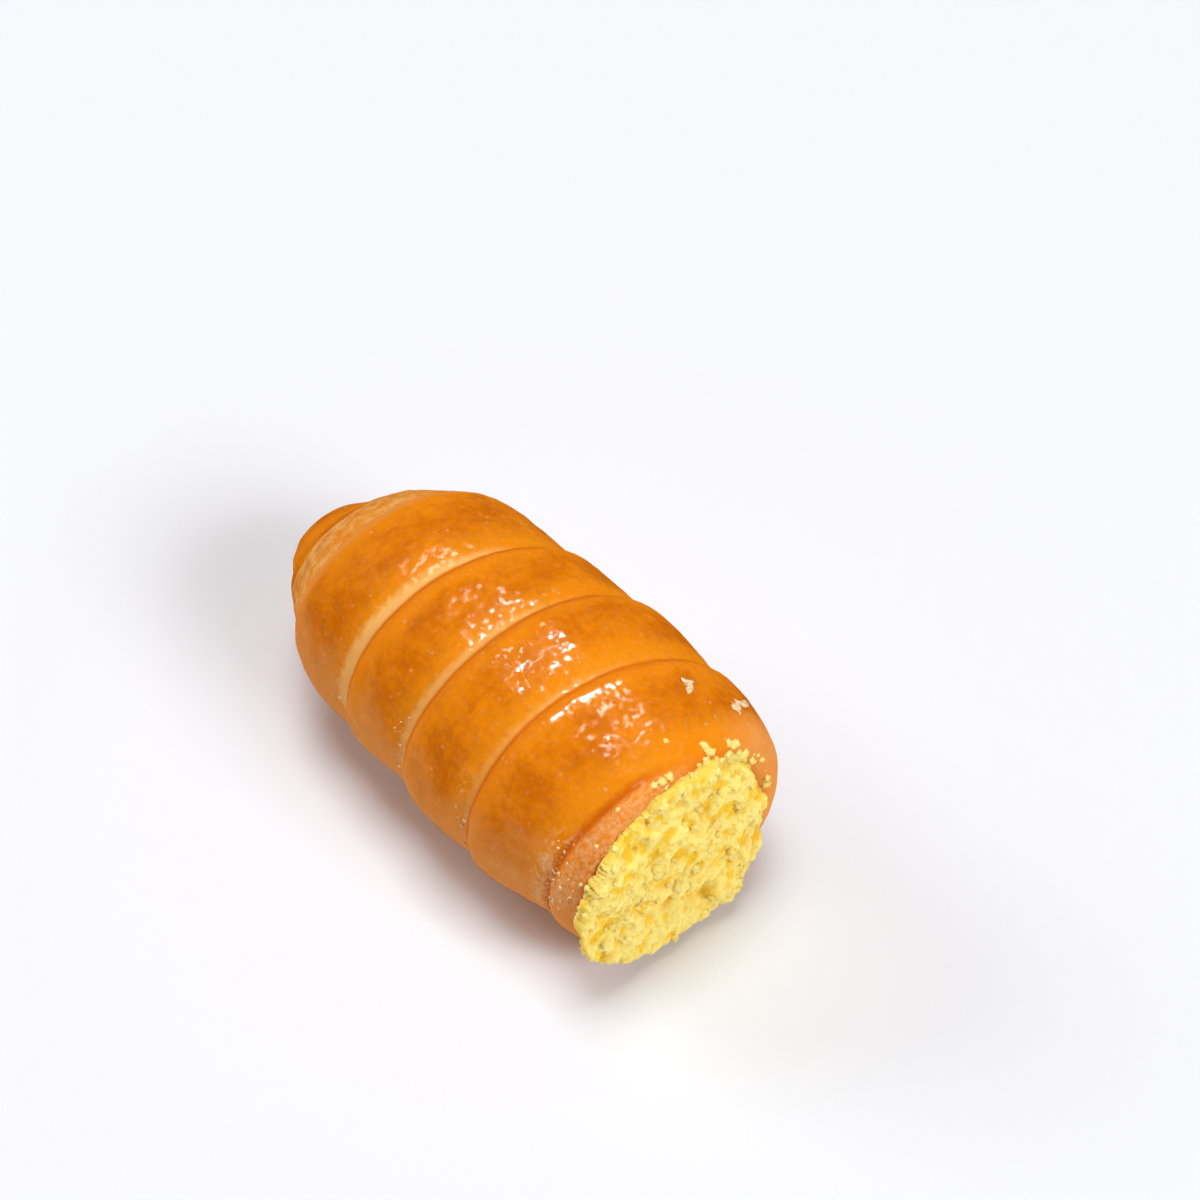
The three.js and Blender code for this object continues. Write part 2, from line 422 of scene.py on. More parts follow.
class Finish:
    """A material in the making, with the functions of numpy that its maths needs."""

    def __init__(self, name):
        self.material = bpy.data.materials.new(name)
        self.material.use_nodes = True
        self.tree = self.material.node_tree
        self.tree.nodes.clear()
        place = self.node("ShaderNodeTexCoord").outputs["Object"]
        self.place = Value(self, place)

    def node(self, kind, settings=None, sockets=None):
        """Adds a node, sets its settings, then its sockets' values or links."""
        made = self.tree.nodes.new(kind)
        for name, value in (settings or {}).items():
            setattr(made, name, value)
        for name, value in (sockets or {}).items():
            if isinstance(value, Value):
                self.tree.links.new(value.socket, made.inputs[name])
            else:
                made.inputs[name].default_value = value
        return made

    def maths(self, operation, *inputs):
        made = self.node("ShaderNodeMath", {"operation": operation}, dict(enumerate(inputs)))
        return Value(self, made.outputs[0])

    def maximum(self, a, b):
        return self.maths("MAXIMUM", a, b)

    def minimum(self, a, b):
        return self.maths("MINIMUM", a, b)

    def sqrt(self, a):
        return self.maths("SQRT", a)

    def sin(self, a):
        return self.maths("SINE", a)

    def arctan2(self, a, b):
        return self.maths("ARCTAN2", a, b)

    def floor(self, a):
        return self.maths("FLOOR", a)

    def step(self, value, low, high):
        """0 at low, 1 at high, and smooth between them."""
        made = self.node(
            "ShaderNodeMapRange", {"interpolation_type": "SMOOTHSTEP"},
            {"Value": value, "From Min": low, "From Max": high}
        )
        return Value(self, made.outputs["Result"])

    def noise(self, size, detail=2.0, roughness=0.5, place=None):
        """Soft random spots of a size in millimetres, from 0 to 1."""
        made = self.node(
            "ShaderNodeTexNoise", {},
            {"Vector": place or self.place, "Scale": 1 / (size * MM), "Detail": detail,
             "Roughness": roughness}
        )
        return Value(self, made.outputs["Fac"])

    def cells(self, size):
        """Distance, in millimetres, from the nearest of random points that lie a size apart."""
        sockets = {"Vector": self.place, "Scale": 1 / (size * MM)}
        made = self.node("ShaderNodeTexVoronoi", {}, sockets)
        return Value(self, made.outputs["Distance"]) * size

    def mix(self, share, a, b):
        """Colour a where share is 0, and b where it is 1."""
        made = self.node("ShaderNodeMix", {"data_type": "RGBA"}, {0: share, 6: a, 7: b})
        return Value(self, made.outputs[2])

    def attribute(self, name):
        """A number that each vertex holds."""
        made = self.node("ShaderNodeAttribute", {"attribute_name": name})
        return Value(self, made.outputs["Fac"])

    def split(self, vector):
        """The three parts of a place, in millimetres."""
        parts = self.node("ShaderNodeSeparateXYZ", {}, {0: vector}).outputs
        return [Value(self, part) * (1 / MM) for part in parts]

    def join(self, x, y, z):
        """A place from its three parts in millimetres."""
        parts = [part * MM for part in (x, y, z)]
        made = self.node("ShaderNodeCombineXYZ", {}, dict(enumerate(parts)))
        return Value(self, made.outputs[0])

    def bump(self, height):
        """A normal bent by a height in millimetres."""
        made = self.node("ShaderNodeBump", {}, {"Height": height, "Distance": MM})
        return Value(self, made.outputs["Normal"])

    def surface(self, **sockets):
        """Ends the material with a Principled shader. Underscores stand for spaces."""
        named = {name.replace("_", " "): value for name, value in sockets.items()}
        made = self.node("ShaderNodeBsdfPrincipled", {}, named)
        output = self.node("ShaderNodeOutputMaterial")
        self.tree.links.new(made.outputs["BSDF"], output.inputs["Surface"])
        return self.material


def opaque(rgb):
    return (*rgb, 1.0)


class CrustPlace:
    """Where a point of the crust lies, and the noises that the layers of its finish share.

    after and before are how far it lies past one crease and short of the next, in millimetres.
    """

    # How the streaks are drawn out: millimetres for a radian, and the share of the radius.
    FLOW_STRETCH = 5
    FLOW_DEPTH = 0.3

    def __init__(self, f):
        x, y, z = f.split(f.place)
        self.station, self.radius, self.angle = horn_place(f, x, y, z)
        self.turns = turns_at(f, self.station, self.radius, self.angle)
        self.after = (self.turns - f.floor(self.turns)) * WIND_PITCH
        self.before = WIND_PITCH - self.after
        along = self.turns * WIND_PITCH
        flow = f.join(along, self.angle * self.FLOW_STRETCH, self.radius * self.FLOW_DEPTH)
        self.fine = f.noise(0.7, 3.0, 0.6)
        self.patches = f.noise(4.5, 2.0)
        self.wide = f.noise(9.0, 2.0)
        self.streaks = f.noise(1.6, 3.0, 0.6, flow)
        self.ragged = (f.noise(1.1, 3.0, 0.6) - 0.5) * 1.4


# The layers of the crust's finish: the glaze's colour, then masks, which go from 0 to 1. step takes
# the two ends of a soft edge: millimetres from a crease or the tip, turns, or an angle in radians,
# which is below zero on the left side of the horn.

# The angle where the left side turns under.
LEFT_FOOT = -1.75


def glaze_colour(f, at, look):
    """Colour of the egg glaze: blotches, browner in the middle of a turn, golden at its edges."""
    heart = f.step(at.after, 0.5, 6.0) * f.step(at.before, 1.0, 6.0)
    flank = f.step(at.angle, -0.5, -0.95) * f.step(at.angle, LEFT_FOOT, -1.2)
    brown = heart * 0.3 + flank * 0.1 + at.wide * 0.65 + at.patches * 0.5
    brown = brown + (at.streaks - 0.5) * 0.3 + (at.fine - 0.5) * 0.4
    brown = brown + (f.noise(1.1, 2.0) - 0.5) * 0.45
    base = f.mix(f.step(brown, 0.5, 1.25), opaque(look.light), opaque(look.dark))
    base = f.mix(f.step(at.after, 4.0, 0.8) * 0.4, base, opaque(look.edge))
    gold = f.step(at.before, 7.0, 2.0) * f.step(at.patches, 0.35, 0.6)
    return f.mix(gold * 0.3, base, opaque(look.gold))


def dull_sides_and_table_reflection(f, at):
    """The dull crust low on the sides, whose paler colour is partly its own and partly a painted
    reflection of the pale table, just past the first crease, and right of the mouth.
    """
    aside = f.maximum(at.angle, -at.angle) + f.step(at.turns, 1.3, 0.2) * 0.2
    low = f.step(aside + (f.noise(7.0, 3.0) - 0.5) * 0.9, 1.1, 1.75) * f.step(at.station, 9.0, 24.0)
    first = f.step(at.turns, 0.0, 0.03) * f.step(at.turns + (at.fine - 0.5) * 0.05, 0.2, 0.06)
    mouth = f.step(at.station, 85.0, 89.5) * f.step(at.angle, 0.35, 0.95)
    return f.maximum(f.maximum(low, first * 0.8), mouth * 0.85)


def bare_strips(f, at, width):
    """The bare dough before each crease, narrower and fainter with each turn."""
    reach = f.step(at.angle + (at.wide - 0.5) * 0.8, 0.6, -0.8) * f.step(at.angle, LEFT_FOOT, -1.4)
    reach = reach * f.step(at.turns, 0.2, 0.6) * f.step(at.turns, 3.6, 3.1)
    width = (width - at.turns * 0.45) * (0.4 + 0.6 * reach)
    strip = f.step(at.before + at.ragged, width + 0.8, width - 0.8) * f.step(reach, 0.0, 0.4)
    strip = strip * f.step(at.before + at.ragged * 0.3, 0.0, 0.6)
    return strip * (1.25 - at.turns * 0.29) * (0.6 + 0.4 * at.streaks)


def tip_band(f, at):
    """The broad mottled band of bare dough before the first crease, paler where it starts."""
    round_top = f.step(at.angle, -2.3, -1.6) * f.step(at.angle + (at.wide - 0.5) * 0.8, 1.2, 0.2)
    band = f.step(at.turns, 0.01, -0.03) * f.step(at.turns, -0.7, -0.6) * round_top
    band = f.step(at.before + at.ragged, 11.0, 9.4) * band
    start = f.step(at.before + at.ragged * 0.6, 8.6, 9.6) * band
    grain = f.step(f.noise(1.7, 3.0, 0.65), 0.4, 0.6) * 0.4 + f.step(at.patches, 0.35, 0.65) * 0.15
    return band * (grain + 0.08) + start * 0.3


def crease_lines_and_shade(f, at):
    """The dark line along each crease, partly the browned edge of the lap and partly painted shade
    in the crease, broader and darker beside the lip.
    """
    last = f.step(at.turns, 3.6, 3.9)
    width = 0.8 + last * 0.5
    line = f.maximum(
        f.step(at.before - at.ragged * 0.4, width, 0.0),
        f.step(at.after + at.ragged * 0.4, width, 0.0)
    )
    kept = f.step(at.turns, -0.3, 0.3) * (1 - last * f.step(at.angle, -0.4, -0.1))
    return line * kept * (0.5 + last * 0.25)


def lip_band(f, at):
    """The lip on the left and the top, between the last crease and the filling."""
    round_left = f.step(at.angle, 0.25, -0.3) * f.step(at.angle, LEFT_FOOT, -1.5)
    return f.step(at.turns, 4.02, 4.1) * round_left


def dry_specks(f, at, sides, lip):
    """Specks of dry dough on the sides and the lip, thickest along the last crease."""
    dry = f.step(at.before, 6.0, 1.5) * f.step(at.angle, -0.95, -1.35)
    dry = f.maximum(f.maximum(dry, sides * 0.5), lip * 0.7)
    specks = f.step(f.noise(0.5, 2.0, 0.6), 0.56, 0.66) * f.step(f.noise(2.4), 0.42, 0.6) * dry
    frost = f.step(at.turns, 3.78, 3.9) * f.step(at.turns, 4.24, 4.06)
    frost = frost * f.step(at.angle, -0.85, -1.15)
    frost = frost * f.step(at.streaks + (f.noise(0.7, 2.0) - 0.5) * 0.9, 0.45, 0.75)
    return f.maximum(specks * 0.65, frost * 0.6)


def wet_spots(f, at):
    """Spots of thick shiny glaze, which gather in patches, most on the first and last turns."""
    thick = f.step(at.turns, 3.0, 3.15) * f.step(at.turns, 3.85, 3.7)
    thick = f.maximum(thick, f.step(at.turns, 1.1, 0.9))
    spots = f.step(f.noise(1.0, 2.0, 0.6) + thick * 0.06, 0.55, 0.62)
    return spots * f.step(f.noise(5.0) + thick * 0.1, 0.4, 0.52) * f.step(at.turns, 4.0, 3.9)


def crust_finish(look):
    """Egg-glazed crust: brown blotches, bare strips along the creases, dull low sides."""
    f = Finish("glazed crust")
    at = CrustPlace(f)
    sides = dull_sides_and_table_reflection(f, at)
    strip = f.maximum(bare_strips(f, at, look.strip_width / MM), tip_band(f, at))
    lip = lip_band(f, at)
    specks = dry_specks(f, at, sides, lip)
    blisters = f.step(f.cells(2.1), 0.5, 0.1) * f.step(f.noise(6.0, 1.0), 0.45, 0.6)
    speck = opaque(look.speck)
    base = glaze_colour(f, at, look)
    # The low sides get their colour: dull crust, with a painted reflection of the pale table.
    base = f.mix(sides * (0.35 + at.patches * 0.5 + at.fine * 0.4), base, opaque(look.side))
    base = f.mix(f.step(at.fine, 0.5, 0.8) * 0.15, base, speck)
    base = f.mix(strip, base, opaque(look.strip))
    # The crease lines: browned edges, with painted shade in the creases.
    base = f.mix(crease_lines_and_shade(f, at), base, opaque(look.crease))
    base = f.mix(lip * f.step(at.fine, 0.3, 0.7) * 0.45, base, speck)
    base = f.mix(specks, base, speck)
    base = f.mix(blisters * 0.25, base, speck)
    height = f.noise(2.6, 1.0) * 0.1 + at.fine * 0.02 + blisters * 0.08 + specks * 0.12
    dull = f.maximum(f.maximum(strip * 0.9, sides), specks)
    return f.surface(
        Base_Color=base,
        Roughness=0.45 + dull * 0.2,
        Specular_IOR_Level=0.0,
        Coat_Weight=(0.01 + wet_spots(f, at) * 0.24) * (1 - dull),
        Coat_Roughness=0.12,
        Normal=f.bump(height),
    )


def cream_finish(look, name, softness):
    """Matte crumbly filling, with painted shade in its hollows, in the low spots of its grain and on
    its sides: a deeper, warmer yellow there. softness is how much light goes into it.
    """
    f = Finish(name)
    grain = f.noise(0.6, 3.0, 0.6)
    hollow = f.attribute("hollow")
    # Painted shade in the hollows and on the sides that the attribute marks.
    pit_shade = f.step(hollow + (f.noise(1.2, 2.0) - 0.5) * 0.6, 0.1, 1.0)
    base = f.mix(pit_shade * (0.5 + 0.8 * grain), opaque(look.light), opaque(look.pit_shade))
    # Painted shade in the low spots of the grain that also bumps the surface.
    base = f.mix(f.step(grain, 0.5, 0.3) * 0.3, base, opaque(look.pit_shade))
    return f.surface(
        Base_Color=base,
        Roughness=0.8,
        Specular_IOR_Level=0.04,
        Subsurface_Weight=softness,
        Subsurface_Radius=(1.0, 1.0, 1.0),
        Subsurface_Scale=0.8 * MM,
        Normal=f.bump(grain * 0.18 + f.noise(0.3, 2.0) * 0.05),
    )


def flake_finish(look):
    """Dull pale dough, finely mottled."""
    f = Finish("dry flakes")
    grain = f.noise(0.5, 3.0, 0.6)
    darker = tuple(part * 0.7 for part in look.dough)
    return f.surface(
        Base_Color=f.mix(f.step(grain, 0.6, 0.4), opaque(look.dough), opaque(darker)),
        Roughness=0.6,
        Specular_IOR_Level=0.05,
        Normal=f.bump(grain * 0.05),
    )


# Operators: one for each piece, and one for the stage.


class HORN_OT_crust(bpy.types.Operator):
    """Makes the baked crust over the shell"""

    bl_idname = "horn.crust"
    bl_label = "Crust"

    # The sizes of the lumps, the blisters and the grain, in millimetres, and the grain's share of
    # the blisters' height.
    LUMP_SIZE = 10
    BLISTER_SIZE = 2.6
    GRAIN_SIZE = 1.3
    GRAIN_SHARE = 0.45

    # The heights between which the relief sets in, above the flat spots that the horn lies on.
    FOOT = (0.2, 2.0)

    # The stations where the cavity's wall starts and ends, and the share of its faces that stays.
    CAVITY = (6.5, LIP_START - 2)
    KEPT_INSIDE = 0.04

    # How near a crease it is softened, in millimetres.
    SOFTENED = (2.0, 0.8)

    # The radii between which the mouth's edge ends and the outside of the crust begins.
    OUTSIDE = (17, 18.5)

    # The groove beside the lip, in millimetres.
    GROOVE_DEPTH = 0.4
    GROOVE_WIDTH = 0.9

    def execute(self, context):
        look = context.scene.horn_crust
        crust = copy_node("pastry_shell", "horn_crust")
        modify(crust, "REMESH", mode="VOXEL", voxel_size=CRUST_GRAIN * MM)
        modify(crust, "SMOOTH", factor=0.5, iterations=4)
        self.thin_inside(crust)
        self.shift_laps(crust)
        self.fade_last_lap(crust)
        self.soften_creases(crust)
        self.press_lip_groove(crust)
        self.raise_relief(crust, look)
        finish_piece(crust, crust_finish(look))
        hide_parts("pastry_shell")
        return {"FINISHED"}

    def inside(self, crust):
        """1 at the vertices of the cavity's wall, else 0."""
        points = points_of(crust.data)
        station, radius, angle = horn_place(np, *points.T)
        outward = np.stack([np.sin(angle), np.zeros(len(angle)), np.cos(angle)], 1)
        facing = (normals_of(crust.data) * outward).sum(1)
        start, end = self.CAVITY
        return ((facing < 0) & (station > start) & (station < end)).astype(float)

    def thin_inside(self, crust):
        """Leaves few faces on the cavity's wall, which the filling hides."""
        select_faces(crust, self.inside(crust) > 0)
        bpy.ops.mesh.decimate(ratio=self.KEPT_INSIDE)
        bpy.ops.object.mode_set(mode="OBJECT")

    def shift_laps(self, crust):
        """Moves the laps along the horn by their drift, but not its two ends."""
        points = points_of(crust.data)
        station, radius, angle = horn_place(np, *points.T)
        turns = even_turns(np, station, radius, angle)
        drift = lap_drift(np, turns + lap_drift(np, turns) / WIND_PITCH)
        points[:, 1] -= drift * drift_share(np, station)
        set_points(crust.data, points)

    def fade_last_lap(self, crust):
        """Smooths the edge of the last lap away from the top of the horn to its right side."""
        station, radius, angle = horn_place(np, *points_of(crust.data).T)
        turns = turns_at(np, station, radius, angle)
        near = smooth_step(np.abs(turns - LAST_CREASE), 0.3, 0.15)
        side = smooth_step(angle, -0.6, -0.1) * smooth_step(angle, 2.6, 2.2)
        weight_group(crust, "last lap", near * side * smooth_step(radius, *self.OUTSIDE))
        modify(crust, "SMOOTH", factor=0.5, iterations=60, vertex_group="last lap")

    def soften_creases(self, crust):
        """Makes the creases shallower and rounder."""
        turns = turns_at(np, *horn_place(np, *points_of(crust.data).T))
        apart = np.abs(turns - np.round(turns)) * WIND_PITCH
        weights = smooth_step(apart, *self.SOFTENED) * (1 - self.inside(crust)) * 0.8
        weight_group(crust, "creases", weights)
        modify(crust, "SMOOTH", factor=0.5, iterations=8, vertex_group="creases")

    def press_lip_groove(self, crust):
        """Presses the last crease deeper beside the mouth, on the left."""
        points = points_of(crust.data)
        station, radius, angle = horn_place(np, *points.T)
        apart = (turns_at(np, station, radius, angle) - LAST_CREASE) * WIND_PITCH
        share = smooth_step(angle, -0.2, -0.45) * smooth_step(radius, *self.OUTSIDE)
        depth = self.GROOVE_DEPTH * np.exp(-((apart / self.GROOVE_WIDTH) ** 2)) * share
        points[:, 0] -= depth * np.sin(angle)
        points[:, 2] -= depth * np.cos(angle)
        set_points(crust.data, points)

    def raise_relief(self, crust, look):
        """Raises lumps, blisters and grain, but not inside or below the table's top."""
        heights = points_of(crust.data)[:, 2]
        weight_group(crust, "free", smooth_step(heights, *self.FOOT) * (1 - self.inside(crust)))
        blister = look.blister_height
        grain = blister * self.GRAIN_SHARE
        roughen(crust, "CLOUDS", self.LUMP_SIZE * MM, look.lump_height, "free")
        roughen(crust, "CLOUDS", self.BLISTER_SIZE * MM, blister, "free", noise_depth=3)
        roughen(crust, "CLOUDS", self.GRAIN_SIZE * MM, grain, "free", noise_depth=0)
        points = points_of(crust.data)
        points[:, 2] = np.maximum(points[:, 2], 0)
        set_points(crust.data, points)


class HORN_OT_cream(bpy.types.Operator):
    """Makes the crumbly filling"""

    bl_idname = "horn.cream"
    bl_label = "Filling"

    # Where the filling's face swells or dips: its places across and up, its radius, and its
    # height, which is below zero for a dip, all in millimetres.
    RELIEF = (
        (7.6, 35.8, 2.0, -4.5),
        (-7.6, 35.0, 1.5, -1.4),
        (2.2, 29.4, 1.8, -1.6),
        (-10.2, 31.4, 1.5, -1.4),
        (-8.0, 22.0, 2.0, -1.7),
        (-17.0, 20.5, 1.8, -2.0),
        (-6.2, 14.5, 2.2, -1.9),
        (1.6, 11.0, 1.9, -2.4),
        (1.4, 37.2, 1.9, 1.2),
        (6.0, 8.6, 2.4, 1.4),
        (-4.3, 29.7, 2.6, 1.2),
        (-0.4, 23.7, 3.0, 1.2),
        (-13.2, 27.1, 2.6, 0.9),
        (11.5, 9.5, 4.0, -1.0),
        (3.4, 8.2, 2.4, -2.2),
        (14.5, 15.5, 3.0, -1.0),
    )

    # How far behind the lip the hidden part ends and the finest part begins, in millimetres, and
    # the share of its faces that the hidden part keeps.
    HIDDEN = 4
    FINEST = 1
    KEPT_HIDDEN = 0.05

    # How far past the lip's start the relief sets in, from none to all of it, in millimetres.
    HEAD = (-0.5, 1.5)

    # How far the filling's outline swells to meet the lip, in millimetres: low down, at the top,
    # and low on the right. Higher up on the right, most of the swelling is held back.
    SWELL_LOW = 0.2
    SWELL_TOP = 1.6
    SWELL_RIGHT = 2.2
    HELD_BACK = 0.8

    # Where each swelling sets in, from none to all of it: heights for the top, places across and
    # heights for low on the right, and the same for where it is held back.
    TOP = (12, 26)
    RIGHT = (2, 10)
    UNDER = (19, 13)
    FAR_RIGHT = (8, 15)
    HIGHER = (11, 16)

    # The percentiles of the relief's height above which the face isn't hollow, and below which it is
    # a pit. The finish paints shade in the hollows.
    HOLLOW = (62, 6)

    def execute(self, context):
        look = context.scene.horn_cream
        cream = copy_node("cream_filling", "cream_filling_crumb")
        modify(cream, "REMESH", mode="VOXEL", voxel_size=CREAM_GRAIN * MM)
        self.set_detail(cream)
        modify(cream, "SMOOTH", factor=0.5, iterations=22)
        head = smooth_step(self.past_lip(cream), *self.HEAD)
        self.press(cream, head)
        self.close_gap(cream)
        self.crumble(cream, look, head)
        finish_piece(cream, cream_finish(look, "vanilla cream", 0.6))
        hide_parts("cream_filling")
        return {"FINISHED"}

    def past_lip(self, cream):
        """How far each vertex lies past the lip's start, in millimetres."""
        return TIP - points_of(cream.data)[:, 1] - LIP_START

    def set_detail(self, cream):
        """Thins the mesh where the shell hides it, and makes it finer towards the face."""
        select_faces(cream, self.past_lip(cream) < -self.HIDDEN)
        bpy.ops.mesh.decimate(ratio=self.KEPT_HIDDEN)
        bpy.ops.object.mode_set(mode="OBJECT")
        select_faces(cream, self.past_lip(cream) > -self.FINEST)
        bpy.ops.mesh.subdivide(number_cuts=1, smoothness=0)
        bpy.ops.object.mode_set(mode="OBJECT")

    def press(self, cream, head):
        """Presses the swellings and dips into the face."""
        points = points_of(cream.data)
        for across, up, radius, height in self.RELIEF:
            apart = np.hypot(points[:, 0] - across, points[:, 2] - up)
            points[:, 1] -= height * head * np.exp(-((apart / radius) ** 2))
        set_points(cream.data, points)

    def close_gap(self, cream):
        """Swells the filling's outline to the lip."""
        points = points_of(cream.data)
        ways = normals_of(cream.data)
        across, _, up = points.T
        sideways = np.hypot(ways[:, 0], ways[:, 2])
        near = smooth_step(self.past_lip(cream), -2, 0)
        top = smooth_step(up, *self.TOP)
        right = smooth_step(across, *self.RIGHT) * smooth_step(up, *self.UNDER)
        held = smooth_step(across, *self.FAR_RIGHT) * smooth_step(up, *self.HIGHER)
        swell = self.SWELL_LOW + (self.SWELL_TOP - self.SWELL_LOW) * top
        swell = np.maximum(swell, self.SWELL_RIGHT * right)
        swell *= 1 - self.HELD_BACK * held
        set_points(cream.data, points + ways * (swell * near * sideways)[:, None])

    def crumble(self, cream, look, head):
        """Breaks the face up into clumps and grains, and marks where it is hollow, and its sides,
        where the finish paints shade.
        """
        clump = look.clump_size
        height = look.clump_height
        start = points_of(cream.data)
        ways = normals_of(cream.data)
        edge = smooth_step(np.hypot(ways[:, 0], ways[:, 2]), 0.4, 0.85)
        weight_group(cream, "head", head * (1 - 0.5 * edge))
        roughen(cream, "CLOUDS", clump * 1.1, height * 2.4, "head", noise_depth=1)
        roughen(cream, "VORONOI", clump, -height * 1.2, "head", middle=0.45)
        clumps = self.hollows(cream, start, ways, head)
        start = points_of(cream.data)
        roughen(cream, "VORONOI", clump * 0.4, -height * 0.55, "head", middle=0.45)
        roughen(cream, "CLOUDS", clump * 0.2, height * 0.45, "head", noise_depth=1)
        grains = self.hollows(cream, start, ways, head)
        # The hollows and the sides of the face, where the finish paints shade.
        hollow = np.maximum(np.maximum(clumps, grains * 0.6), edge * 0.7)
        mark(cream.data, "hollow", hollow)

    def hollows(self, cream, start, ways, head):
        """How hollow the face is at each vertex, from 0 to 1, by how it moved from its start."""
        risen = ((points_of(cream.data) - start) * ways).sum(1)
        flat, pit = np.percentile(risen[head > 0.9], self.HOLLOW)
        return smooth_step(risen, flat, pit)


class HORN_OT_crumbs(bpy.types.Operator):
    """Makes the crumbs on the filling, the rim and the crust"""

    bl_idname = "horn.crumbs"
    bl_label = "Crumbs"

    # Crumbs that lie on the lip: station, angle in degrees, and size in millimetres.
    STRAY = (
        (86.4, 1, 0.9), (89.4, 14, 1.2), (90.0, 15, 1.5), (90.4, 15, 1.7), (90.6, 18, 1.3),
        (90.3, 29, 1.3), (90.5, 32, 1.6), (90.4, 35, 1.3), (90.2, -12, 1.5), (90.0, -16, 1.3),
        (90.3, -8, 1.5), (89.0, -34, 0.8), (89.6, -52, 0.8), (90.0, -72, 0.7),
    )

    # The seed of their places, and the number and the proportions of their shapes.
    SEED = 5
    SHAPES = 8
    SHAPE = (1.0, 0.85, 0.7)

    def execute(self, context):
        look = context.scene.horn_crumbs
        rng = np.random.default_rng(self.SEED)
        shapes = [crumb_shape(number, self.SHAPE) for number in range(self.SHAPES)]
        crust = bpy.data.objects["horn_crust"]
        cream = bpy.data.objects["cream_filling_crumb"]
        usual = look.size / MM
        spots = []
        places, ways = scattered(cream.data, rng, look.on_cream, self.cream_share)
        sizes = np.clip(rng.lognormal(0.0, 0.45, len(places)), 0.5, 2.6) * usual
        spots += [*zip(places, ways, sizes)]
        places, ways = scattered(crust.data, rng, look.on_rim, self.rim_share)
        sizes = np.clip(rng.lognormal(0.25, 0.4, len(places)), 0.5, 2.4) * usual
        spots += [*zip(places, ways, sizes)]
        spots += [(*on_crust(crust, station, angle), size) for station, angle, size in self.STRAY]
        crumbs = joined("crumbs", shapes, spots, rng, sunk=-0.05)
        material = cream_finish(context.scene.horn_cream, "cream crumbs", 0.0)
        finish_piece(crumbs, material)
        return {"FINISHED"}

    def cream_share(self, station, radius, angle):
        """How thickly the crumbs lie on the filling, for each face."""
        return smooth_step(station, LIP_START, LIP_START + 1)

    def rim_share(self, station, radius, angle):
        """How thickly the crumbs lie on the crust's rim, for each face."""
        top = smooth_step(np.abs(angle - 0.6), 0.75, 0.2)
        low = smooth_step(np.abs(angle + 1.4), 0.7, 0.2) * 0.35
        inner = smooth_step(radius, 18.0, 16.5) * smooth_step(radius, 13.5, 15)
        return smooth_step(station, 88.5, 90) * inner * (top + low + 0.06)


class HORN_OT_flakes(bpy.types.Operator):
    """Makes the pale flakes on the crust beside the mouth"""

    bl_idname = "horn.flakes"
    bl_label = "Flakes"

    # Patches of flakes: station, angle in degrees, spread along and round in millimetres, and
    # their number. None lies past the station END.
    PATCHES = (
        (85.0, -76, 1.2, 4.0, 16), (84.0, -96, 1.2, 3.0, 12), (88.5, -76, 0.8, 2.0, 6),
        (50.5, -84, 1.2, 4.0, 10), (33.8, -88, 1.0, 3.0, 4), (67.0, -88, 1.0, 3.5, 5),
    )
    END = 89.8

    # The usual radius of the crust, in millimetres.
    RADIUS = 21

    # The seed of their places, and the first seed, the number and the proportions of their shapes.
    SEED = 8
    FIRST_SHAPE = 20
    SHAPES = 6
    SHAPE = (1.0, 0.7, 0.35)

    # Single flakes: station, angle in degrees, and size in millimetres.
    STRAY = (
        (79.6, 26, 1.4), (80.1, 27, 1.9), (80.8, 26, 1.8), (81.3, 25, 1.5), (85.9, 42, 1.5),
        (85.6, 43.5, 1.7), (85.4, 45.5, 1.5), (85.0, 47.5, 1.8), (85.2, 49, 1.3), (84.9, 51, 1.6),
        (84.7, 53, 1.2), (86.4, 43, 1.1),
    )

    def execute(self, context):
        look = context.scene.horn_crumbs
        rng = np.random.default_rng(self.SEED)
        seeds = range(self.FIRST_SHAPE, self.FIRST_SHAPE + self.SHAPES)
        shapes = [crumb_shape(seed, self.SHAPE) for seed in seeds]
        crust = bpy.data.objects["horn_crust"]
        spots = []
        for station, angle, along, around, number in self.PATCHES:
            for _ in range(number):
                there = min(station + rng.normal() * along, self.END)
                turned = angle + math.degrees(rng.normal() * around / self.RADIUS)
                size = look.flake / MM * min(rng.lognormal(0, 0.35), 1.8)
                spots.append((*on_crust(crust, there, turned), size))
        spots += [(*on_crust(crust, station, angle), size) for station, angle, size in self.STRAY]
        flakes = joined("crust_flakes", shapes, spots, rng, sunk=0.05)
        finish_piece(flakes, flake_finish(look))
        return {"FINISHED"}


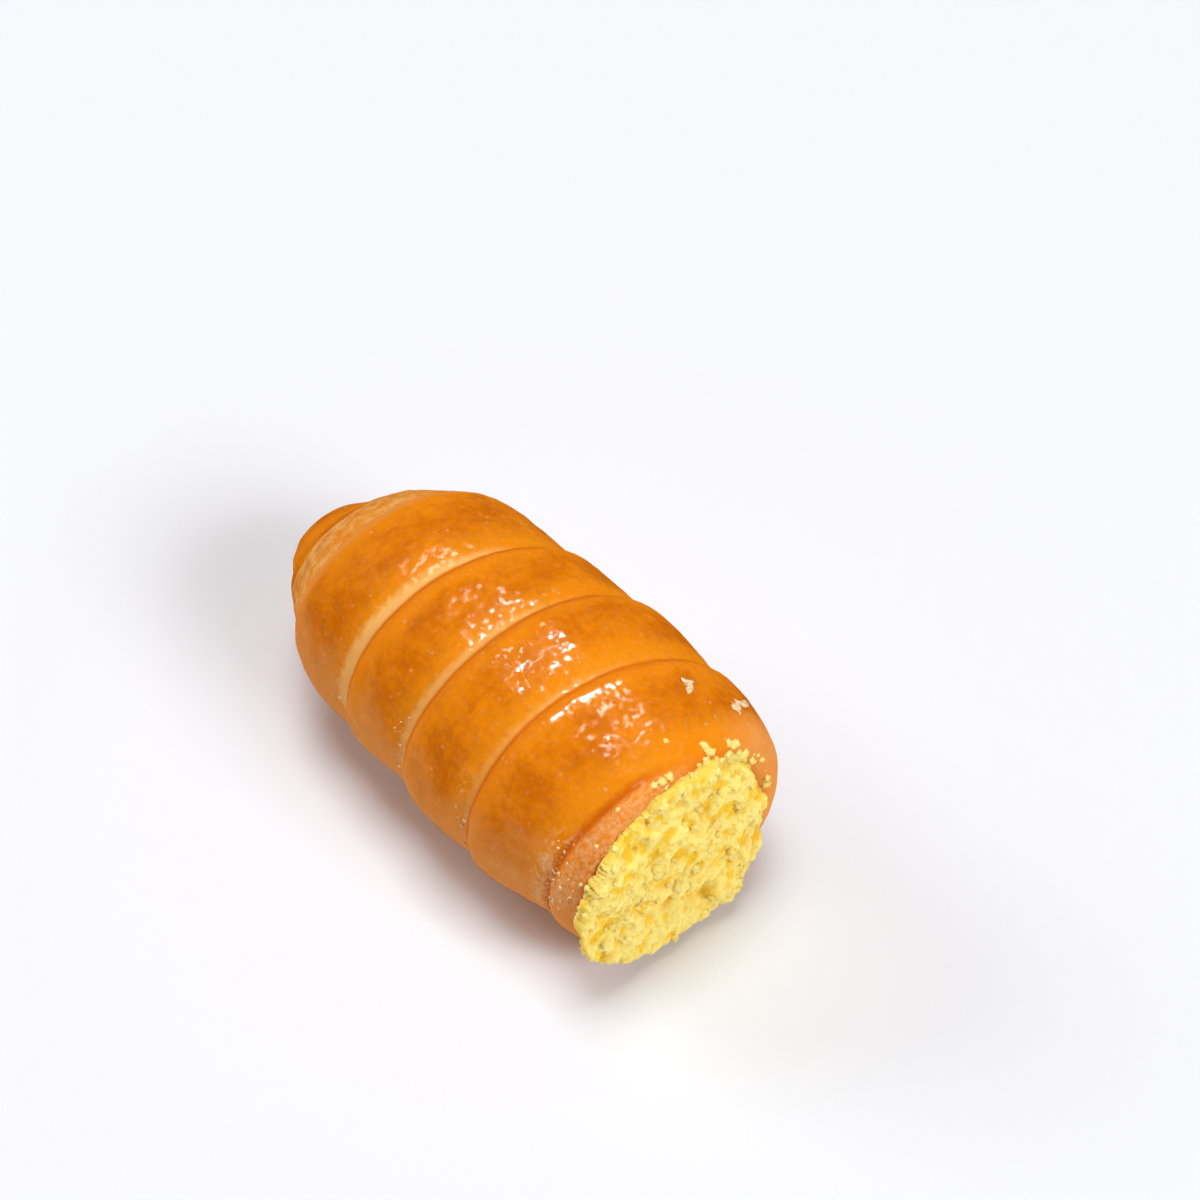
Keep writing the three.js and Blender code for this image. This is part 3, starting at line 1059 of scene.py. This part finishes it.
class HORN_OT_stage(bpy.types.Operator):
    """Makes the table, the backdrop, the light and the camera"""

    bl_idname = "horn.stage"
    bl_label = "Stage"

    # The camera: the point of the table that it looks at, in millimetres, its distance from
    # there, and the angles and lens of the photograph.
    AIM = (35.87, 16.72, 0)
    DISTANCE = 420
    AZIMUTH = math.radians(-40.37)
    ELEVATION = math.radians(47.85)
    LENS = 71.85
    SENSOR = 36

    # The table is a square in metres, a little below the horn, in millimetres. The backdrop's
    # radius and height are in metres.
    TABLE_SIZE = 6
    TABLE_GAP = 0.03
    WALL_RADIUS = 1.8
    WALL_HEIGHT = 2.4

    # The lamps: name, place and size in metres, and whether it only glints in the glaze.
    LAMPS = (
        ("overhead", (0.0, 0.2, 3.5), (1.5, 1.5), False),
        ("front", (0.4, -4.0, 2.8), (2.0, 1.4), False),
        ("back", (-1.3, 2.6, 1.9), (1.6, 1.2), False),
        ("tube", (0.0, 0.22, 0.8), (0.65, 0.025), True),
        ("sheen", (0.0, 0.24, 0.85), (0.75, 0.42), True),
    )

    # The colours of the lamps that light the horn, of those that glint in its glaze, of the light
    # from all round, and of the backdrop.
    LAMP = (0.86, 0.93, 1.0)
    GLINT = (1.0, 0.94, 0.92)
    SURROUND = (1.0, 0.62, 0.34, 1.0)
    WALL = (0.84, 0.85, 0.87, 1.0)

    def execute(self, context):
        scene = context.scene
        look = scene.horn_stage
        scene.view_settings.view_transform = "Standard"
        self.make_table(look)
        self.make_backdrop()
        self.make_lights(scene, look)
        self.make_camera(scene)
        return {"FINISHED"}

    def make_table(self, look):
        bpy.ops.object.select_all(action="DESELECT")
        bpy.ops.mesh.primitive_plane_add(size=self.TABLE_SIZE, location=(0, 0, -self.TABLE_GAP * MM))
        table = bpy.context.object
        table.name = "table"
        f = Finish("table")
        table.data.materials.append(
            f.surface(Base_Color=opaque(look.table), Roughness=0.6, Specular_IOR_Level=0.0)
        )
        table.visible_glossy = False

    def make_backdrop(self):
        """A pale wall round the stage, which only the camera sees."""
        bpy.ops.object.select_all(action="DESELECT")
        bpy.ops.mesh.primitive_cylinder_add(
            vertices=96, radius=self.WALL_RADIUS, depth=self.WALL_HEIGHT,
            end_fill_type="NOTHING", location=(0, 0, self.WALL_HEIGHT / 2)
        )
        wall = bpy.context.object
        wall.name = "backdrop"
        f = Finish("backdrop")
        wall.data.materials.append(
            f.surface(
                Base_Color=(0.0, 0.0, 0.0, 1.0), Specular_IOR_Level=0.0,
                Emission_Color=self.WALL, Emission_Strength=1.0
            )
        )
        wall.visible_diffuse = False
        wall.visible_glossy = False
        wall.visible_shadow = False

    def make_lights(self, scene, look):
        world = bpy.data.worlds.new("surround")
        world.use_nodes = True
        scene.world = world
        background = world.node_tree.nodes["Background"]
        background.inputs["Color"].default_value = self.SURROUND
        background.inputs["Strength"].default_value = look.surround
        for name, place, size, glints in self.LAMPS:
            self.make_light(name, place, size, getattr(look, name), glints)

    def make_light(self, name, place, size, power, glints):
        """An area light that faces the horn. It lights it, or only glints in its glaze."""
        bpy.ops.object.light_add(type="AREA", location=place)
        light = bpy.context.object
        light.name = name
        light.data.shape = "RECTANGLE"
        light.data.size, light.data.size_y = size
        light.data.energy = power
        light.data.color = self.GLINT if glints else self.LAMP
        light.visible_diffuse = not glints
        light.visible_glossy = glints
        light.rotation_euler = (-Vector(place)).to_track_quat("-Z", "Y").to_euler()

    def make_camera(self, scene):
        level = math.cos(self.ELEVATION)
        back = Vector((
            math.sin(self.AZIMUTH) * level, -math.cos(self.AZIMUTH) * level, math.sin(self.ELEVATION)
        ))
        bpy.ops.object.camera_add(location=(Vector(self.AIM) + back * self.DISTANCE) * MM)
        camera = bpy.context.object
        camera.name = "camera"
        camera.rotation_euler = (-back).to_track_quat("-Z", "Y").to_euler()
        camera.data.lens = self.LENS
        camera.data.sensor_width = self.SENSOR
        camera.data.clip_start = 0.01
        scene.camera = camera


class HORN_PT_panel(bpy.types.Panel):
    """Lists the settings and the steps"""

    bl_idname = "HORN_PT_panel"
    bl_label = "Cream Horn"
    bl_space_type = "VIEW_3D"
    bl_region_type = "UI"
    bl_category = "Cream Horn"

    def draw(self, context):
        for group, operators in STEPS.items():
            box = self.layout.box()
            for name in GROUPS[group].__annotations__:
                box.prop(getattr(context.scene, group), name)
            for operator in operators:
                box.operator(operator)


# Each group of settings by its name in the scene, and the operators that read it.
GROUPS = {
    "horn_crust": CrustSettings,
    "horn_cream": CreamSettings,
    "horn_crumbs": CrumbSettings,
    "horn_stage": StageSettings,
}
STEPS = {
    "horn_crust": ("horn.crust",),
    "horn_cream": ("horn.cream",),
    "horn_crumbs": ("horn.crumbs", "horn.flakes"),
    "horn_stage": ("horn.stage",),
}
CLASSES = (
    *GROUPS.values(), HORN_OT_crust, HORN_OT_cream, HORN_OT_crumbs, HORN_OT_flakes, HORN_OT_stage,
    HORN_PT_panel
)


def register():
    for made in CLASSES:
        bpy.utils.register_class(made)
    for name, group in GROUPS.items():
        setattr(bpy.types.Scene, name, PointerProperty(type=group))


def unregister():
    for name in GROUPS:
        delattr(bpy.types.Scene, name)
    for made in reversed(CLASSES):
        bpy.utils.unregister_class(made)


def main():
    register()
    bpy.ops.horn.crust()
    bpy.ops.horn.cream()
    bpy.ops.horn.crumbs()
    bpy.ops.horn.flakes()
    bpy.ops.horn.stage()


if __name__ == "__main__":
    main()
